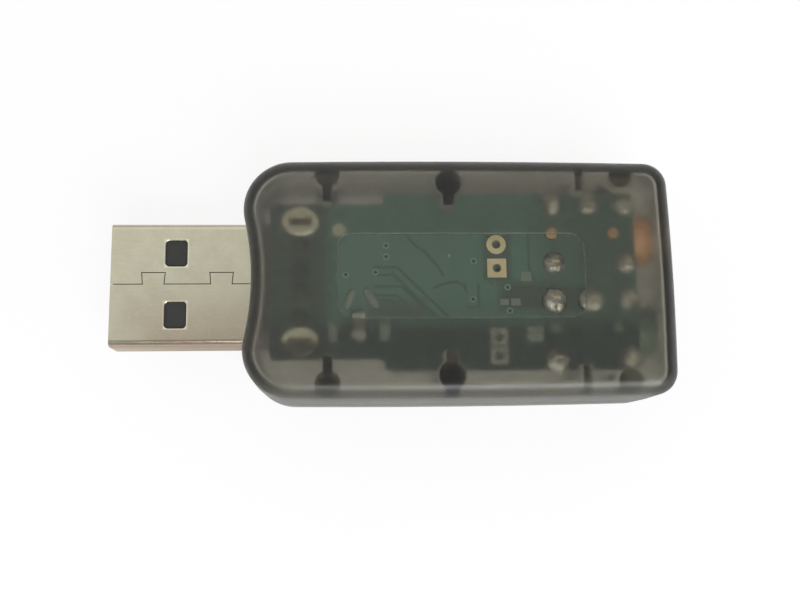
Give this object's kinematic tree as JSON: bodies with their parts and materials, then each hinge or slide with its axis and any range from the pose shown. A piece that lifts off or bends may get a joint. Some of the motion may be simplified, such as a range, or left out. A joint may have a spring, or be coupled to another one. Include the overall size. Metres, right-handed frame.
{
  "type": "usb sound card",
  "caption": "Compact USB audio adapter: a smoke-tinted translucent case with a rectangular plug at one end and microphone and headphone jacks at the other.",
  "frame": {"origin": "centre of the overall length and width, on the lower face of the case", "axes": "+X from the plug to the jacks, +Z out of the face with the solder side of the board behind it, +Y to the left seen from the plug"},
  "size_m": [0.054, 0.023, 0.0124],
  "materials": {
    "smoke_plastic": "translucent smoke tint, finely frosted outside, polished in the label recess",
    "plated_steel": "warm nickel plate",
    "black_plastic": "moulded",
    "contact_gold": "gold flash",
    "board_green": "solder mask",
    "pink_plastic": "moulded",
    "green_plastic": "moulded",
    "spring_metal": "bright",
    "chip_black": "moulded",
    "can_metal": "satin",
    "ceramic_tan": "fired",
    "tin": "bright solder"
  },
  "bodies": {
    "root": {"upper_shell": "smoke_plastic", "lower_shell": "smoke_plastic", "plug_shell": "plated_steel", "plug_insulator": "black_plastic", "circuit_board": "board_green", "audio_chip": "chip_black", "audio_chip_leads": "tin", "crystal": "can_metal", "output_capacitor_bases": "black_plastic", "output_capacitor_left": "can_metal", "output_capacitor_right": "can_metal", "ceramic_capacitors": "ceramic_tan", "chip_resistors": "chip_black", "filter_capacitor": "ceramic_tan", "plug_pin_solder": "tin", "plug_leg_solder": "tin", "plug_contact_ground": "contact_gold", "plug_contact_data_plus": "contact_gold", "plug_contact_data_minus": "contact_gold", "plug_contact_power": "contact_gold", "microphone_jack_body": "pink_plastic", "microphone_jack_sleeve_spring": "spring_metal", "microphone_jack_ring_spring": "spring_metal", "microphone_jack_tip_spring": "spring_metal", "microphone_jack_ring_switch": "spring_metal", "microphone_jack_tip_switch": "spring_metal", "microphone_jack_solder": "tin", "headphone_jack_body": "green_plastic", "headphone_jack_sleeve_spring": "spring_metal", "headphone_jack_ring_spring": "spring_metal", "headphone_jack_tip_spring": "spring_metal", "headphone_jack_ring_switch": "spring_metal", "headphone_jack_tip_switch": "spring_metal", "headphone_jack_solder": "tin"}
  },
  "joints": []
}
